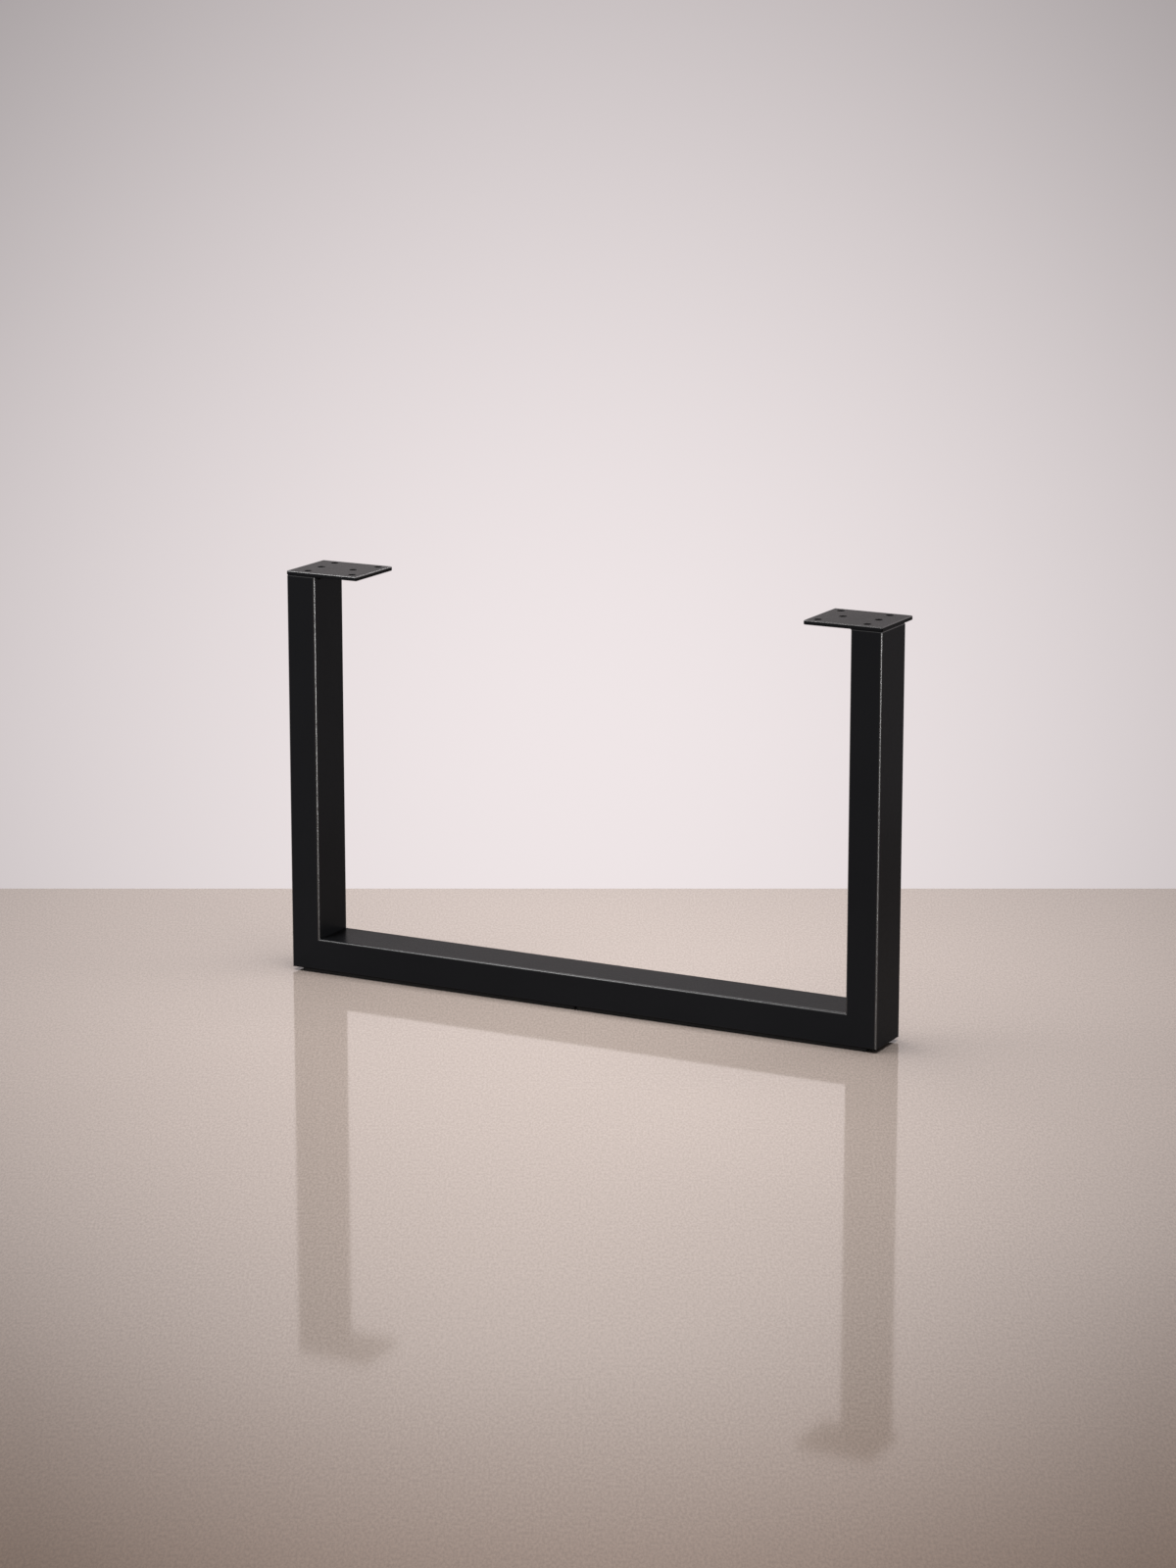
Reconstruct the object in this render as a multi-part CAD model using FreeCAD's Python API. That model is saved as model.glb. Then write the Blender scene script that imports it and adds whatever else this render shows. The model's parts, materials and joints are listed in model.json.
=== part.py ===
import FreeCAD, Part
import math
import os

# U shaped table leg: a frame of rectangular steel tube, mitred at its two lower corners,
# with a screw plate welded across the top of each upright and a strip of rubber padding
# under each half of the rail.
# X runs along the width, Y from the front face to the back and Z up from the floor.
# The origin is on the floor, under the middle of the whole part. All sizes are millimetres.

# Overall size
overall_width = 600.0
overall_height = 380.0

# Rectangular tube, the same for the uprights and the rail
tube_face = 30.0
tube_depth = 50.0
tube_wall = 1.5
tube_inside_radius = 0.5
tube_end_bevel = 0.8
corner_dressing_radius = 1.0

# Screw plates, flush with the front and the outer side of the tube
plate_length = 75.0
plate_depth = 65.0
plate_thickness = 4.0
plate_corner_radius = 1.5
plate_edge_round = 1.0

# Screw holes in each plate
hole_diameter = 7.0
hole_outer_margin = 18.0
hole_inner_margin = 10.0
hole_end_margin = 9.0
middle_hole_pitch = 34.0

# Weld bead in the corner between an upright and its plate
weld_leg = 3.2
weld_end_margin = 6.0
weld_ripple_pitch = 3.0
weld_ripple_height = 0.35
weld_crest_share = 0.3
weld_tip_share = 0.5
fewest_ripples = 2

# Rubber pads under the rail, one along each half of its flat underside
pad_thickness = 3.0
pad_end_inset = 10.0
pad_side_clearance = 0.2
pad_middle_gap = 2.0
pad_corner_radius = 1.5
pad_edge_bevel = 0.3

# Places worked out from the sizes above
outer_x = overall_width / 2
inner_x = outer_x - tube_face
front_y = -max(plate_depth, tube_depth) / 2
tube_back_y = front_y + tube_depth
tube_middle_y = front_y + tube_depth / 2
rail_bottom_z = pad_thickness
rail_top_z = rail_bottom_z + tube_face
plate_bottom_z = overall_height - plate_thickness
tube_outside_radius = tube_inside_radius + tube_wall
pad_outer_x = outer_x - pad_end_inset
pad_inner_x = pad_middle_gap / 2
pad_depth = tube_depth - 2 * (tube_outside_radius + pad_side_clearance)
cutter_margin = tube_depth

LEFT = -1
RIGHT = 1
SIDE_NAMES = {LEFT: "left", RIGHT: "right"}


def vector(x, y, z):
    return FreeCAD.Vector(x, y, z)


def rounded_rectangle(length, depth, radius):
    """Face in the XY plane, centred on the origin, with a quarter circle at each corner."""
    half_length = length / 2
    half_depth = depth / 2
    flat_x = half_length - radius
    flat_y = half_depth - radius
    bulge = radius * math.sqrt(0.5)
    edges = []
    for turn in range(4):
        # Each quarter turn draws one straight side and the corner that follows it.
        if turn % 2 == 0:
            along, across, reach = flat_x, flat_y, half_depth
        else:
            along, across, reach = flat_y, flat_x, half_length
        start = vector(-along, -reach, 0)
        end = vector(along, -reach, 0)
        corner_middle = vector(along + bulge, -across - bulge, 0)
        corner_end = vector(along + radius, -across, 0)
        side = [Part.LineSegment(start, end).toShape()]
        side.append(Part.Arc(end, corner_middle, corner_end).toShape())
        for edge in side:
            edge.rotate(vector(0, 0, 0), vector(0, 0, 1), 90 * turn)
            edges.append(edge)
    return Part.Face(Part.Wire(Part.__sortEdges__(edges)))


def tube_length(length):
    """A tube standing on the XY plane, with its face width along X and its depth along Y."""
    outside = rounded_rectangle(tube_face, tube_depth, tube_outside_radius)
    hollow = rounded_rectangle(
        tube_face - 2 * tube_wall, tube_depth - 2 * tube_wall, tube_inside_radius
    )
    return outside.cut(hollow).extrude(vector(0, 0, length))


def prism_along_depth(points_xz):
    """A solid with the given outline in the XZ plane, running past both sides of the tube."""
    start_y = front_y - cutter_margin
    corners = [vector(x, start_y, z) for x, z in points_xz]
    outline = Part.makePolygon(corners + corners[:1])
    return Part.Face(outline).extrude(vector(0, tube_depth + 2 * cutter_margin, 0))


def mitre_cutter(side, above):
    """The space above or below the mitre plane, which runs up from the outer lower corner."""
    low = (side * (outer_x + cutter_margin), rail_bottom_z - cutter_margin)
    high = (side * (inner_x - cutter_margin), rail_top_z + cutter_margin)
    if above:
        third = (low[0], high[1])
    else:
        third = (high[0], low[1])
    return prism_along_depth([low, high, third])


def corner_dressing_cutter(side):
    """What is ground off along the sharp outer edge where the two tubes meet."""
    radius = corner_dressing_radius
    start_y = front_y - cutter_margin
    run = tube_depth + 2 * cutter_margin
    block = Part.makeBox(2 * radius, run, 2 * radius)
    block.translate(vector(side * outer_x - radius, start_y, rail_bottom_z - radius))
    axis_start = vector(side * (outer_x - radius), start_y, rail_bottom_z + radius)
    return block.cut(Part.makeCylinder(radius, run, axis_start, vector(0, 1, 0)))


def bevel_top_end(shape, top_z):
    """Break the outer edge of a tube's upper end, as it is prepared for welding."""
    half_wall = tube_wall / 2
    outer_edges = []
    for edge in shape.Edges:
        box = edge.BoundBox
        at_the_end = abs(box.ZMin - top_z) < half_wall and abs(box.ZMax - top_z) < half_wall
        middle = edge.valueAt((edge.FirstParameter + edge.LastParameter) / 2)
        beside_x = abs(middle.x - shape.BoundBox.Center.x) > tube_face / 2 - half_wall
        beside_y = abs(middle.y - shape.BoundBox.Center.y) > tube_depth / 2 - half_wall
        if at_the_end and (beside_x or beside_y):
            outer_edges.append(edge)
    return shape.makeChamfer(tube_end_bevel, outer_edges)


def make_upright(side):
    """A tube from the floor side of the rail up to the plate, mitred at its foot."""
    upright = tube_length(plate_bottom_z - rail_bottom_z)
    upright.translate(vector(side * (outer_x - tube_face / 2), tube_middle_y, rail_bottom_z))
    upright = bevel_top_end(upright, plate_bottom_z)
    return upright.cut(mitre_cutter(side, above=False)).cut(corner_dressing_cutter(side))


def make_rail():
    """The lower tube, lying along the width and mitred at both of its ends."""
    rail = tube_length(overall_width)
    rail.rotate(vector(0, 0, 0), vector(0, 1, 0), 90)
    rail.translate(vector(-outer_x, tube_middle_y, rail_bottom_z + tube_face / 2))
    for side in SIDE_NAMES:
        rail = rail.cut(mitre_cutter(side, above=True)).cut(corner_dressing_cutter(side))
    return rail


def plate_hole_places(side):
    """Centres of the screw holes: a rectangle of four and a middle row of two."""
    outer_column = side * (outer_x - hole_outer_margin)
    inner_column = side * (outer_x - plate_length + hole_inner_margin)
    middle_inner = outer_column - side * middle_hole_pitch
    front_row = front_y + hole_end_margin
    back_row = front_y + plate_depth - hole_end_margin
    middle_row = (front_row + back_row) / 2
    corners = [(x, y) for x in (outer_column, inner_column) for y in (front_row, back_row)]
    return corners + [(outer_column, middle_row), (middle_inner, middle_row)]


def edges_at_height(shape, height, tolerance):
    """The edges of a flat piece that lie level at the given height."""
    chosen = []
    for edge in shape.Edges:
        box = edge.BoundBox
        if abs(box.ZMin - height) < tolerance and abs(box.ZMax - height) < tolerance:
            chosen.append(edge)
    return chosen


def make_plate(side):
    """A flat plate with softened rims and six screw holes, on top of one upright."""
    blank = rounded_rectangle(plate_length, plate_depth, plate_corner_radius)
    plate = blank.extrude(vector(0, 0, plate_thickness))
    rims = edges_at_height(plate, 0, plate_edge_round / 2)
    rims += edges_at_height(plate, plate_thickness, plate_edge_round / 2)
    plate = plate.makeFillet(plate_edge_round, rims)
    plate_x = side * (outer_x - plate_length / 2)
    plate.translate(vector(plate_x, front_y + plate_depth / 2, plate_bottom_z))
    for x, y in plate_hole_places(side):
        drill_start = vector(x, y, plate_bottom_z - cutter_margin)
        drill = Part.makeCylinder(
            hole_diameter / 2, plate_thickness + 2 * cutter_margin, drill_start
        )
        plate = plate.cut(drill)
    return plate


def make_weld(side):
    """A rippled fillet bead: half its outline, turned a quarter round the corner it fills."""
    start_y = front_y + weld_end_margin
    bead_length = tube_depth - 2 * weld_end_margin
    ripples = max(fewest_ripples, round(bead_length / weld_ripple_pitch))
    pitch = bead_length / ripples
    valley = weld_leg - weld_ripple_height
    tip = valley * weld_tip_share
    outline = [(start_y, 0), (start_y, tip)]
    for index in range(ripples):
        outline.append((start_y + (index + weld_crest_share) * pitch, weld_leg))
        outline.append((start_y + (index + 1) * pitch, valley))
    outline[-1] = (start_y + bead_length, tip)
    outline.append((start_y + bead_length, 0))
    points = [vector(side * (inner_x - reach), y, plate_bottom_z) for y, reach in outline]
    half_bead = Part.Face(Part.makePolygon(points + points[:1]))
    corner = vector(side * inner_x, front_y, plate_bottom_z)
    return half_bead.revolve(corner, vector(0, 1, 0), -90 * side)


def make_pad(side):
    """A strip of rubber under one half of the rail, with its lower rim bevelled."""
    blank = rounded_rectangle(pad_outer_x - pad_inner_x, pad_depth, pad_corner_radius)
    pad = blank.extrude(vector(0, 0, pad_thickness))
    pad = pad.makeChamfer(pad_edge_bevel, edges_at_height(pad, 0, pad_edge_bevel / 2))
    pad.translate(vector(side * (pad_outer_x + pad_inner_x) / 2, tube_middle_y, 0))
    return pad


def export_piece(name, shape):
    if not shape.isValid() or len(shape.Solids) != 1:
        raise RuntimeError(name + " is not one sound solid")
    shape.Solids[0].exportStep(os.path.join("parts", name + ".step"))


def main():
    os.makedirs("parts", exist_ok=True)
    export_piece("bottom_rail", make_rail())
    for side, side_name in SIDE_NAMES.items():
        export_piece(side_name + "_upright", make_upright(side))
        export_piece(side_name + "_screw_plate", make_plate(side))
        export_piece(side_name + "_plate_weld", make_weld(side))
        export_piece(side_name + "_floor_pad", make_pad(side))


main()
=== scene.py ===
import bpy
import json
import math
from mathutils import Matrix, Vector

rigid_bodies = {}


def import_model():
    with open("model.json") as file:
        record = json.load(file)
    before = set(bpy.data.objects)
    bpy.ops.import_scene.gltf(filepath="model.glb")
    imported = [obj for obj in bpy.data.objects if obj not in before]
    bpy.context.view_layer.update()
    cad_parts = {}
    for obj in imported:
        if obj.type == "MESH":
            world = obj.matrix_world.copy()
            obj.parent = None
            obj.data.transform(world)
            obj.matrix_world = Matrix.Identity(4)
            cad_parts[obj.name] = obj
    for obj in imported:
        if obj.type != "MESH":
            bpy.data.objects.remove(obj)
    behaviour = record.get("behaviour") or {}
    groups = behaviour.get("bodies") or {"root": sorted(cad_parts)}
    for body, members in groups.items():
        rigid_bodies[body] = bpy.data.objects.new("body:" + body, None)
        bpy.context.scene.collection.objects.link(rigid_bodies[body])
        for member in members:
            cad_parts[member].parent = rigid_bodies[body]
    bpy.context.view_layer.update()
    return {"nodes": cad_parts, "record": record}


# Looks of a U shaped steel table leg in satin black powder coat, standing on its rail.
# Lengths are metres, in the row's own frame: X along the width, Y from front to back, Z up.

# Camera, as fitted to the corners of the object in the photograph
VIEW_AZIMUTH = math.radians(28.0)
VIEW_ELEVATION = math.radians(12.8)
VIEW_DISTANCE = 3.9816
VIEW_TARGET = Vector((-0.0230, 0.0377, 0.1941))
VIEW_CLIP_END = 100.0
LENS_MM = 100.0
SENSOR_LONG_SIDE_MM = 36.0

# Stage. The wall's foot is measured from the camera's target along its heading
WALL_DISTANCE = 0.378
WALL_HALF_WIDTH = 3.0
WALL_HEIGHT = 2.6
FLOOR_HALF_WIDTH = 6.0

# Colours, linear
COAT_BLACK = (0.0095, 0.0098, 0.0110)
RUBBER_BLACK = (0.006, 0.006, 0.006)
# The floor is taupe; from FLOOR_NEAR to FLOOR_FAR it darkens to brown away from the wall's
# foot, a painted pool of light and painted shade
FLOOR_NEAR = (0.412, 0.342, 0.303)
FLOOR_FAR = (0.246, 0.145, 0.085)
# FLOOR_DISTANT is the pale glow painted on the far floor, which is no lamp
FLOOR_DISTANT = (0.36, 0.33, 0.315)
# WALL_CENTRE and WALL_FAR paint the wall's glow: bright behind the object, dimmer far from it
WALL_CENTRE = (0.863, 0.791, 0.799)
WALL_FAR = (0.173, 0.158, 0.160)
WORLD_COLOUR = (0.80, 0.77, 0.76)

# Noises: scale, detail and roughness
COAT_CLOUD = (9.0, 3.0, 0.5)
COAT_GRAIN = (2600.0, 2.0, 0.6)
COAT_PEEL = (420.0, 1.0, 0.5)
RUBBER_SPECKLE = (1500.0, 3.0, 0.7)
RUBBER_CLOUD = (60.0, 2.0, 0.5)
FLOOR_SPECKLE = (550.0, 2.0, 0.7)
FLOOR_CLOUD = (2.5, 2.0, 0.5)
NOISE_RANGE = (0.3, 0.7)
SPECKLE_RANGE = (0.25, 0.75)

# Powder coat. The edges carry a clearer coat of their own, which gives their bright lines
COAT_IOR = 1.077
COAT_SHADES = (0.86, 1.14)
COAT_ROUGHNESS_SPREAD = 0.03
GRAIN_ROUGHNESS_SPREAD = 0.04
PEEL_DEPTH = 0.00006
GRAIN_DEPTH = 0.000012
GRAIN_STRENGTH = 0.55
EDGE_ROUGHNESS = 0.20
# The largest part of a normal's three: an edge up to the first value, flat from the second on
EDGE_SQUARENESS = (0.94, 0.9995)
# How far an edge's normal has to rise before it shows the line
STANDING_EDGES_TOO = (-0.35, -0.05)
UPPER_RIMS_ONLY = (0.02, 0.20)
COATS = {
    "frame_coating": {
        "name": "frame_powder_coat",
        "roughness": 0.27,
        "peel_strength": 0.30,
        "edge_ior": 1.8,
        "rise_limits": STANDING_EDGES_TOO,
    },
    "plate_coating": {
        "name": "plate_powder_coat",
        "roughness": 0.24,
        "peel_strength": 0.30,
        "edge_ior": 2.4,
        "rise_limits": UPPER_RIMS_ONLY,
    },
    "weld_coating": {
        "name": "weld_powder_coat",
        "roughness": 0.30,
        "peel_strength": 0.60,
        "edge_ior": 1.8,
        "rise_limits": UPPER_RIMS_ONLY,
    },
}

# Rubber
RUBBER_IOR = 1.45
RUBBER_PALER_SHADE = 1.6
RUBBER_ROUGHNESS = (0.78, 0.92)
RUBBER_GRAIN_DEPTH = 0.00005
RUBBER_GRAIN_STRENGTH = 0.6

# Floor. A pool of light is painted into its colour, fading with the distance from the wall's
# foot and to the sides
FLOOR_ROUGHNESS = 0.06
FLOOR_IOR = 1.42
SIDE_SQUARE_LIMIT = 0.36
FADE_SIDE_WEIGHT = 3.2
FADE_REACH = (1.27, 2.2)
POOL_SIDE_FALL = -0.7
POOL_CORNER_FALL = -0.8
POOL_LEAST = 0.70
SPECKLE_STRETCH = (1.0, 0.35, 1.0)
SPECKLE_SHADES = (0.85, 1.15)
CLOUD_SHADES = (0.985, 1.015)
# From the first distance to the second the floor's painted far glow fades in
DISTANT_REACH = (1.8, 2.8)

# Wall. Its painted glow, brightest behind the object, fades with the distance from a point
# above its foot
GLOW_HEIGHT = 0.15
GLOW_SIDE_WEIGHT = 1.1
GLOW_CORNER_WEIGHT = 1.2
GLOW_FALL = -0.96
GLOW_LEAST = 0.28
GLOW_STRENGTH = 1.0

# Room light, as a diffuse surface gets it and as it shows in the picture and in mirror images
ROOM_LIGHT = (0.22, 0.75)

# Soft boxes: place, the point faced, width and length, and power in watts.
# The standing edges show the two edge boxes as the polished floor would mirror them,
# so these two are placed just below the floor.
PART_MIDDLE = (0.0, 0.0, 0.2)
EDGE_TARGET = (0.1, 0.0, 0.2)
SOFTBOXES = {
    "ceiling_softbox": ((-0.05, -0.05, 1.6), (-0.05, -0.05, 0.0), (1.6, 1.4), 46.5),
    "front_fill": ((-1.4, -2.8, 2.0), PART_MIDDLE, (1.5, 1.5), 84.0),
    "overhead_softbox": ((-0.93, -0.97, 1.55), PART_MIDDLE, (0.7, 0.5), 7.8),
    "left_edge_softbox": ((2.1, -1.0, -0.18), EDGE_TARGET, (0.35, 0.25), 24.0),
    "right_edge_softbox": ((2.1, -1.0, -0.10), EDGE_TARGET, (0.35, 0.45), 17.0),
    "rear_softbox": ((-1.1, 1.9, 1.7), PART_MIDDLE, (0.8, 0.8), 9.0),
}

# Sockets of a colour mix node, which share their names with its other kinds
MIX_FACTOR = 0
MIX_FIRST = 6
MIX_SECOND = 7
MIX_RESULT = 2


def remove_default_objects():
    for thing in list(bpy.data.objects):
        bpy.data.objects.remove(thing)


remove_default_objects()
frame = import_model()


class NodeTree:
    """Small helper that adds shader nodes and links their sockets."""

    def __init__(self, owner):
        owner.use_nodes = True
        self.tree = owner.node_tree
        self.tree.nodes.clear()

    def add(self, kind, settings=None, **inputs):
        node = self.tree.nodes.new(kind)
        for name, value in (settings or {}).items():
            setattr(node, name, value)
        for name, value in inputs.items():
            self.set(node, name.replace("_", " "), value)
        return node

    def set(self, node, key, value):
        """Links the input to a socket or gives it a constant. The key is its name or place."""
        if isinstance(value, bpy.types.NodeSocket):
            self.tree.links.new(value, node.inputs[key])
        else:
            node.inputs[key].default_value = value

    def maths(self, operation, first, second=0.0):
        node = self.add("ShaderNodeMath", {"operation": operation})
        self.set(node, 0, first)
        self.set(node, 1, second)
        return node.outputs[0]

    def product(self, first, second):
        return self.maths("MULTIPLY", first, second)

    def squared(self, value):
        return self.maths("MULTIPLY", value, value)

    def remap(self, value, source, target):
        """Smooth step from the first pair of limits to the second."""
        node = self.add("ShaderNodeMapRange", {"interpolation_type": "SMOOTHSTEP"}, Value=value)
        node.inputs["From Min"].default_value, node.inputs["From Max"].default_value = source
        node.inputs["To Min"].default_value, node.inputs["To Max"].default_value = target
        return node.outputs["Result"]

    def mix_colour(self, factor, first, second):
        node = self.add("ShaderNodeMix", {"data_type": "RGBA"})
        self.set(node, MIX_FACTOR, factor)
        self.set(node, MIX_FIRST, first)
        self.set(node, MIX_SECOND, second)
        return node.outputs[MIX_RESULT]

    def noise(self, place, pattern):
        scale, detail, roughness = pattern
        node = self.add(
            "ShaderNodeTexNoise", Vector=place, Scale=scale, Detail=detail, Roughness=roughness
        )
        return node.outputs["Fac"]

    def bump(self, height, distance, strength, normal=None):
        node = self.add("ShaderNodeBump", Height=height, Distance=distance, Strength=strength)
        if normal is not None:
            self.set(node, "Normal", normal)
        return node.outputs["Normal"]

    def finish(self, shader, output_kind="ShaderNodeOutputMaterial"):
        """Makes the shader node the surface of the material or of the world."""
        self.add(output_kind, Surface=shader.outputs[0])


def rgba(colour, shade=1.0):
    return (*[part * shade for part in colour], 1.0)


def object_place(nodes):
    return nodes.add("ShaderNodeTexCoord").outputs["Object"]


def edge_mask(nodes, rise_limits):
    """1 on the rounded edges, 0 on the flats and on what rises less than the given limits."""
    normal = nodes.add("ShaderNodeTexCoord").outputs["Normal"]
    parts = nodes.add("ShaderNodeSeparateXYZ", Vector=normal).outputs
    sizes = [nodes.maths("ABSOLUTE", parts[axis]) for axis in ("X", "Y", "Z")]
    squareness = nodes.maths("MAXIMUM", nodes.maths("MAXIMUM", sizes[0], sizes[1]), sizes[2])
    rounded = nodes.remap(squareness, EDGE_SQUARENESS, (1.0, 0.0))
    rising = nodes.remap(parts["Z"], rise_limits, (0.0, 1.0))
    return nodes.product(rounded, rising)


def powder_coat(name, roughness, peel_strength, edge_ior, rise_limits):
    """Satin black powder coat: fine grain and orange peel on the flats, smoother on edges."""
    material = bpy.data.materials.new(name)
    nodes = NodeTree(material)
    place = object_place(nodes)
    cloud = nodes.noise(place, COAT_CLOUD)
    grain = nodes.noise(place, COAT_GRAIN)
    peel = nodes.noise(place, COAT_PEEL)
    darker, paler = [rgba(COAT_BLACK, shade) for shade in COAT_SHADES]
    rough_limits = (roughness - COAT_ROUGHNESS_SPREAD, roughness + COAT_ROUGHNESS_SPREAD)
    rough_flat = nodes.remap(cloud, NOISE_RANGE, rough_limits)
    grain_limits = (-GRAIN_ROUGHNESS_SPREAD, GRAIN_ROUGHNESS_SPREAD)
    rough_grain = nodes.remap(grain, NOISE_RANGE, grain_limits)
    peeled = nodes.bump(peel, PEEL_DEPTH, peel_strength)
    shader = nodes.add(
        "ShaderNodeBsdfPrincipled",
        Base_Color=nodes.mix_colour(cloud, darker, paler),
        Roughness=nodes.maths("ADD", rough_flat, rough_grain),
        Normal=nodes.bump(grain, GRAIN_DEPTH, GRAIN_STRENGTH, peeled),
        IOR=COAT_IOR,
        Coat_Weight=edge_mask(nodes, rise_limits),
        Coat_Roughness=EDGE_ROUGHNESS,
        Coat_IOR=edge_ior,
    )
    nodes.finish(shader)
    return material


def pad_rubber(name):
    """Matt black rubber with a fine moulded grain."""
    material = bpy.data.materials.new(name)
    nodes = NodeTree(material)
    place = object_place(nodes)
    speckle = nodes.noise(place, RUBBER_SPECKLE)
    cloud = nodes.noise(place, RUBBER_CLOUD)
    paler = rgba(RUBBER_BLACK, RUBBER_PALER_SHADE)
    shader = nodes.add(
        "ShaderNodeBsdfPrincipled",
        Base_Color=nodes.mix_colour(cloud, rgba(RUBBER_BLACK), paler),
        Roughness=nodes.remap(speckle, NOISE_RANGE, RUBBER_ROUGHNESS),
        Normal=nodes.bump(speckle, RUBBER_GRAIN_DEPTH, RUBBER_GRAIN_STRENGTH),
        IOR=RUBBER_IOR,
    )
    nodes.finish(shader)
    return material


def dress_nodes():
    """Gives each CAD node its finish by the record's material slot."""
    finishes = {slot: powder_coat(**settings) for slot, settings in COATS.items()}
    finishes["pad_rubber"] = pad_rubber("pad_rubber_grain")
    for part in frame["record"]["subparts"]:
        node = frame["nodes"][part["node"]]
        for material_slot in node.material_slots:
            material_slot.material = finishes[part["material_slot"]]


def heading():
    """The camera's heading along the floor."""
    return Vector((-math.sin(VIEW_AZIMUTH), math.cos(VIEW_AZIMUTH), 0))


def stage_quad(name, corners, material):
    """A flat of the stage: local X runs to the right along the wall's foot, Y past it, Z up."""
    mesh = bpy.data.meshes.new(name)
    mesh.from_pydata(corners, [], [(0, 1, 2, 3)])
    mesh.materials.append(material)
    piece = bpy.data.objects.new(name, mesh)
    foot = VIEW_TARGET + heading() * WALL_DISTANCE
    piece.location = (foot.x, foot.y, 0)
    piece.rotation_euler = (0, 0, VIEW_AZIMUTH)
    bpy.context.scene.collection.objects.link(piece)
    return piece


def shown_rays(nodes):
    """1 for camera, glossy and transmission rays, 0 for the light that a surface throws."""
    path = nodes.add("ShaderNodeLightPath").outputs
    either = nodes.maths("MAXIMUM", path["Is Camera Ray"], path["Is Glossy Ray"])
    return nodes.maths("MAXIMUM", either, path["Is Transmission Ray"])


def side_square(nodes, parts):
    """Square of the distance to the side, up to where the painted falls in brightness end."""
    return nodes.maths("MINIMUM", nodes.squared(parts["X"]), SIDE_SQUARE_LIMIT)


def painted_light_pool(nodes, place):
    """Colour of the floor with its painted soft pool of light, without the speckle."""
    parts = nodes.add("ShaderNodeSeparateXYZ", Vector=place).outputs
    sideways = side_square(nodes, parts)
    toward = nodes.squared(nodes.maths("MINIMUM", parts["Y"], 0.0))
    away = nodes.maths("ADD", toward, nodes.product(sideways, FADE_SIDE_WEIGHT))
    painted_falloff = nodes.remap(nodes.maths("SQRT", away), FADE_REACH, (0.0, 1.0))
    colour = nodes.mix_colour(painted_falloff, rgba(FLOOR_NEAR), rgba(FLOOR_FAR))
    # Painted pool of light: the floor darkens to the sides, more so towards the camera
    narrowing = nodes.product(nodes.product(sideways, toward), POOL_CORNER_FALL)
    drop = nodes.maths("ADD", nodes.product(sideways, POOL_SIDE_FALL), narrowing)
    painted_pool = nodes.maths("MAXIMUM", nodes.maths("EXPONENT", drop), POOL_LEAST)
    return colour, painted_pool


def floor_material():
    """Pale taupe polished floor with a fine speckle, a painted soft pool of light by the wall
    and a painted pale glow far off.
    """
    material = bpy.data.materials.new("floor_taupe")
    nodes = NodeTree(material)
    place = object_place(nodes)
    colour, painted_pool = painted_light_pool(nodes, place)
    drawn_out = nodes.add("ShaderNodeVectorMath", {"operation": "MULTIPLY"})
    nodes.set(drawn_out, 0, place)
    nodes.set(drawn_out, 1, SPECKLE_STRETCH)
    speckle = nodes.noise(drawn_out.outputs[0], FLOOR_SPECKLE)
    speckle = nodes.remap(speckle, SPECKLE_RANGE, SPECKLE_SHADES)
    cloud = nodes.remap(nodes.noise(place, FLOOR_CLOUD), NOISE_RANGE, CLOUD_SHADES)
    level = nodes.product(painted_pool, nodes.product(speckle, cloud))
    tint = nodes.add("ShaderNodeVectorMath", {"operation": "SCALE"}, Scale=level)
    nodes.set(tint, 0, colour)
    # Far off the floor glows pale for camera and mirror rays: painted light, though it is no
    # lamp
    reach = nodes.add("ShaderNodeVectorMath", {"operation": "LENGTH"})
    nodes.set(reach, 0, place)
    painted_far_glow = nodes.remap(reach.outputs["Value"], DISTANT_REACH, (0.0, 1.0))
    shader = nodes.add(
        "ShaderNodeBsdfPrincipled",
        Base_Color=tint.outputs[0],
        Roughness=FLOOR_ROUGHNESS,
        IOR=FLOOR_IOR,
        Emission_Color=rgba(FLOOR_DISTANT),
        Emission_Strength=nodes.product(painted_far_glow, shown_rays(nodes)),
    )
    nodes.finish(shader)
    return material


def wall_material():
    """Pale wall with a painted soft glow behind the object, dimmer to the sides and upwards.

    It throws no light, and it isn't there when seen from behind.
    """
    material = bpy.data.materials.new("wall_pale")
    nodes = NodeTree(material)
    parts = nodes.add("ShaderNodeSeparateXYZ", Vector=object_place(nodes)).outputs
    rise = nodes.squared(nodes.maths("SUBTRACT", parts["Z"], GLOW_HEIGHT))
    sideways = side_square(nodes, parts)
    away = nodes.maths("ADD", rise, nodes.product(sideways, GLOW_SIDE_WEIGHT))
    corner = nodes.product(rise, sideways)
    away = nodes.maths("ADD", away, nodes.product(corner, GLOW_CORNER_WEIGHT))
    share = nodes.maths("EXPONENT", nodes.product(away, GLOW_FALL))
    share = nodes.maths("MAXIMUM", share, GLOW_LEAST)
    colour = nodes.mix_colour(share, rgba(WALL_FAR), rgba(WALL_CENTRE))
    glow = nodes.add("ShaderNodeEmission", Color=colour, Strength=GLOW_STRENGTH)
    clear = nodes.add("ShaderNodeBsdfTransparent")
    behind = nodes.add("ShaderNodeNewGeometry").outputs["Backfacing"]
    unseen = nodes.maths("SUBTRACT", 1.0, shown_rays(nodes))
    either = nodes.add("ShaderNodeMixShader")
    nodes.set(either, 0, nodes.maths("MAXIMUM", behind, unseen))
    nodes.set(either, 1, glow.outputs[0])
    nodes.set(either, 2, clear.outputs[0])
    nodes.finish(either)
    return material


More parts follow.
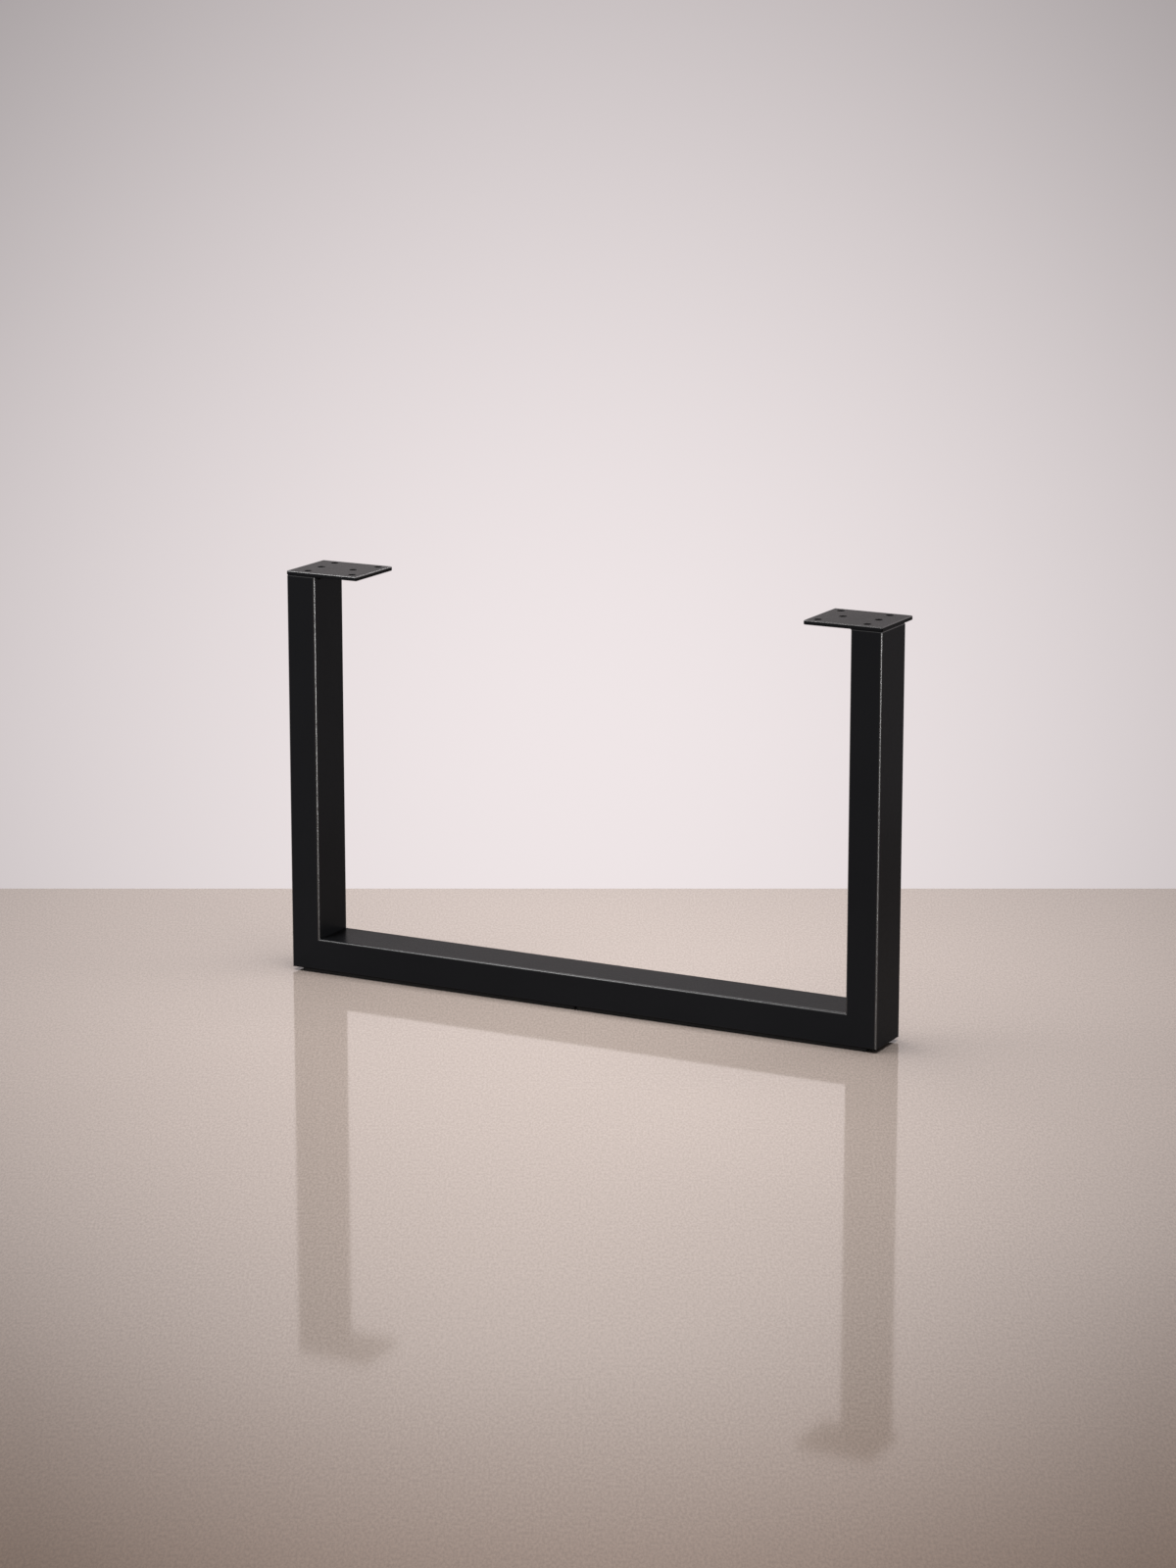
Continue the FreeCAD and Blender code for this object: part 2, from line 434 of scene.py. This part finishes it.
def make_stage():
    """The floor and the wall. Returns the floor."""
    half = FLOOR_HALF_WIDTH
    floor_corners = [(-half, -half, 0), (half, -half, 0), (half, half, 0), (-half, half, 0)]
    floor = stage_quad("floor", floor_corners, floor_material())
    side = WALL_HALF_WIDTH
    top = WALL_HEIGHT
    wall_corners = [(-side, 0, 0), (side, 0, 0), (side, 0, top), (-side, 0, top)]
    stage_quad("wall", wall_corners, wall_material())
    return floor


def softbox(name):
    place, target, size, power = SOFTBOXES[name]
    data = bpy.data.lights.new(name, "AREA")
    data.shape = "RECTANGLE"
    data.size, data.size_y = size
    data.energy = power
    lamp = bpy.data.objects.new(name, data)
    lamp.visible_camera = False
    lamp.location = place
    lamp.rotation_euler = (Vector(target) - Vector(place)).to_track_quat("-Z", "Y").to_euler()
    bpy.context.scene.collection.objects.link(lamp)
    return lamp


def light_only(lamp, pieces):
    """Keeps a lamp's light to the given pieces. Returns the collection that holds them."""
    group = bpy.data.collections.new(lamp.name + "_lights")
    for piece in pieces:
        group.objects.link(piece)
    lamp.light_linking.receiver_collection = group
    return group


def make_lights(floor):
    """One soft box lights the floor, where the part casts its shadow, the others the part."""
    lamps = {name: softbox(name) for name in SOFTBOXES}
    for name in ("ceiling_softbox", "front_fill"):
        lamps[name].visible_glossy = False
    light_only(lamps["ceiling_softbox"], [floor])
    nodes = frame["nodes"]
    lit_by = {
        "front_fill": nodes.values(),
        "overhead_softbox": nodes.values(),
        "rear_softbox": nodes.values(),
        "left_edge_softbox": [nodes["left_upright"]],
        "right_edge_softbox": [nodes["right_upright"], nodes["bottom_rail"]],
    }
    for name, pieces in lit_by.items():
        # Neither the floor nor the wall stands in the way of these
        lamps[name].light_linking.blocker_collection = light_only(lamps[name], pieces)


def make_world():
    world = bpy.data.worlds.new("soft_room")
    bpy.context.scene.world = world
    nodes = NodeTree(world)
    strength = nodes.remap(shown_rays(nodes), (0.0, 1.0), ROOM_LIGHT)
    sky = nodes.add("ShaderNodeBackground", Color=rgba(WORLD_COLOUR), Strength=strength)
    nodes.finish(sky, "ShaderNodeOutputWorld")


def make_camera():
    data = bpy.data.cameras.new("camera")
    data.sensor_fit = "AUTO"
    data.sensor_width = SENSOR_LONG_SIDE_MM
    data.lens = LENS_MM
    data.clip_end = VIEW_CLIP_END
    camera = bpy.data.objects.new("camera", data)
    back = Vector((0, 0, math.sin(VIEW_ELEVATION))) - heading() * math.cos(VIEW_ELEVATION)
    camera.location = VIEW_TARGET + back * VIEW_DISTANCE
    camera.rotation_euler = (-back).to_track_quat("-Z", "Y").to_euler()
    bpy.context.scene.collection.objects.link(camera)
    bpy.context.scene.camera = camera


dress_nodes()
make_lights(make_stage())
make_world()
make_camera()
bpy.context.scene.view_settings.view_transform = "Standard"
